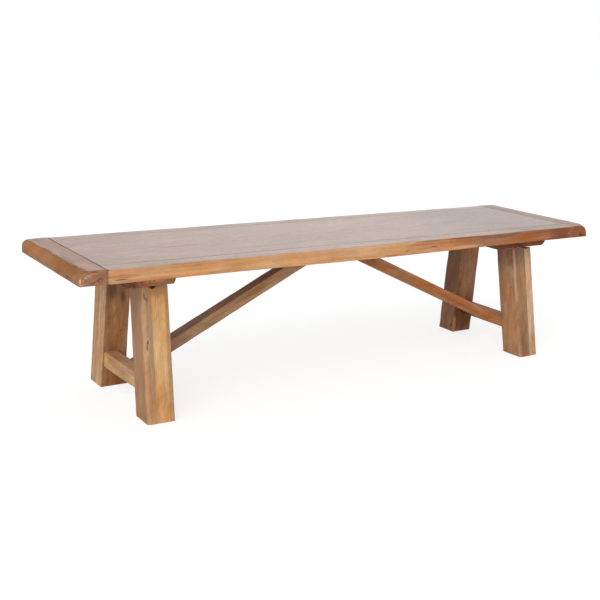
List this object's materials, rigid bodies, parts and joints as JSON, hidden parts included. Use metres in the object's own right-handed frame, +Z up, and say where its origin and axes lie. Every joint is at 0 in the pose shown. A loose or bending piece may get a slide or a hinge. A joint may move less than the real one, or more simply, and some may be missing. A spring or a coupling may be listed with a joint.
{
  "type": "dining bench",
  "caption": "Long rustic dining bench: plank seat with breadboard ends on two A-frame trestles, with low stretchers and long diagonal braces up to the seat.",
  "frame": {"origin": "on the floor under the middle of the seat", "axes": "+X along the bench to the right, +Y from the front edge to the back, +Z up"},
  "size_m": [1.83, 0.484, 0.45],
  "materials": {
    "seat_wood": "hand-worked hardwood boards, stained light brown and lacquered satin",
    "frame_wood": "planed and hand-eased hardwood, honey brown with paler sapwood, satin lacquer",
    "tongue_wood": "plain machined hardwood, unfinished",
    "zinc_steel": "zinc-plated steel",
    "insert_metal": "yellow-passivated steel insert"
  },
  "bodies": {
    "root": {"back_rail": "seat_wood", "back_rail_tongue": "tongue_wood", "bearer_left": "frame_wood", "bearer_right": "frame_wood", "bolt_washers": "zinc_steel", "brace_left": "frame_wood", "brace_right": "frame_wood", "brace_screws": "zinc_steel", "breadboard_end_left": "seat_wood", "breadboard_end_right": "seat_wood", "breadboard_tongue_left": "tongue_wood", "breadboard_tongue_right": "tongue_wood", "field_plank_back": "seat_wood", "field_plank_front": "seat_wood", "field_tongue": "tongue_wood", "front_rail": "seat_wood", "front_rail_tongue": "tongue_wood", "leg_left_back": "frame_wood", "leg_left_front": "frame_wood", "leg_right_back": "frame_wood", "leg_right_front": "frame_wood", "seat_bolts": "zinc_steel", "stretcher_left": "frame_wood", "stretcher_right": "frame_wood", "threaded_inserts": "insert_metal"}
  },
  "joints": []
}
